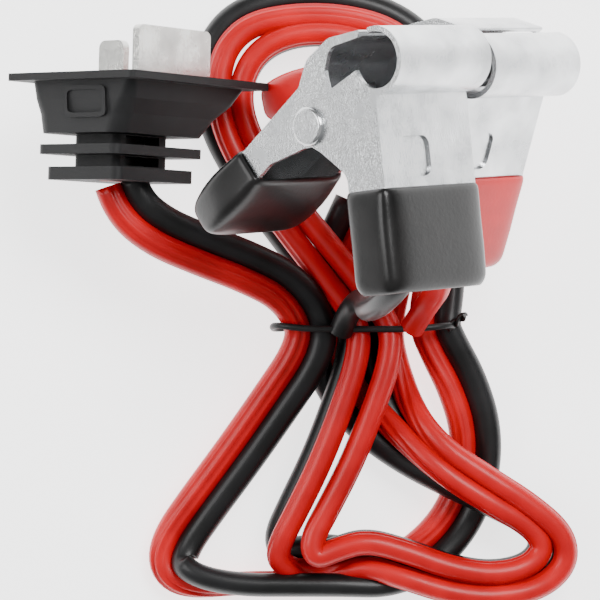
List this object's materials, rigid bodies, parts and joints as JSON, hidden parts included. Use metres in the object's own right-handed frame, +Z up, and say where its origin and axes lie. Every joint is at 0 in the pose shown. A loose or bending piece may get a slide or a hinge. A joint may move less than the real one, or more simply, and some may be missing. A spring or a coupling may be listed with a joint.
{
  "type": "battery charging lead",
  "caption": "Battery charging lead: moulded T-blade plug, red and black twin cord tied in a hank, and plated spring clips with vinyl boots",
  "frame": {"origin": "on the surface that the lead lies on, under the middle of the plug, clips and tie", "axes": "+Z up; +Y from the free loops of the hank towards the plug blades; +X from the plug towards the clips"},
  "size_m": [0.1021, 0.1117, 0.076],
  "materials": {
    "plug_plastic": "fine moulded matt black",
    "blade_metal": "tin-plated blade, faint drawing lines",
    "brass_crimp": "bare stamped brass",
    "red_insulation": "soft glossy vinyl",
    "black_insulation": "soft glossy vinyl",
    "tie_plastic": "matt flat tie",
    "plated_steel": "bright zinc plate with fine rolling grain",
    "spring_steel": "oiled spring wire",
    "black_boot": "dipped vinyl, satin",
    "red_boot": "dipped vinyl, satin"
  },
  "bodies": {
    "lead": {"plug_flange": "plug_plastic", "plug_body": "plug_plastic", "plug_neck": "plug_plastic", "plug_wide_blade": "blade_metal", "plug_narrow_blade": "blade_metal", "plug_wide_barrel": "brass_crimp", "plug_narrow_barrel": "brass_crimp", "plug_cord_end": "red_insulation", "plug_lead": "red_insulation", "cord_hank": "red_insulation", "red_tail": "red_insulation", "black_tail": "black_insulation", "tie_band": "tie_plastic", "tie_twist": "tie_plastic", "black_clip_back_jaw": "plated_steel", "black_clip_rivet": "plated_steel", "black_clip_spring": "spring_steel", "black_clip_wire_crimp": "plated_steel", "black_clip_back_boot": "black_boot", "red_clip_back_jaw": "plated_steel", "red_clip_rivet": "plated_steel", "red_clip_spring": "spring_steel", "red_clip_wire_crimp": "plated_steel", "red_clip_back_boot": "red_boot"},
    "black_clip_lever": {"black_clip_front_jaw": "plated_steel", "black_clip_front_boot": "black_boot"},
    "red_clip_lever": {"red_clip_front_jaw": "plated_steel", "red_clip_front_boot": "red_boot"}
  },
  "joints": [
    {"name": "black_clip_squeeze", "type": "hinge", "parent": "lead", "child": "black_clip_lever", "pos_m": [0.0108, 0.0078, 0.0527], "axis": [-0.6824, -0.0681, 0.7278], "range_deg": [0, 30], "stiffness_Nm_per_rad": 0.05, "springref_deg": -11.46},
    {"name": "red_clip_squeeze", "type": "hinge", "parent": "lead", "child": "red_clip_lever", "pos_m": [0.025, 0.0161, 0.0305], "axis": [-0.6824, -0.0681, 0.7278], "range_deg": [0, 30], "stiffness_Nm_per_rad": 0.05, "springref_deg": -11.46}
  ]
}
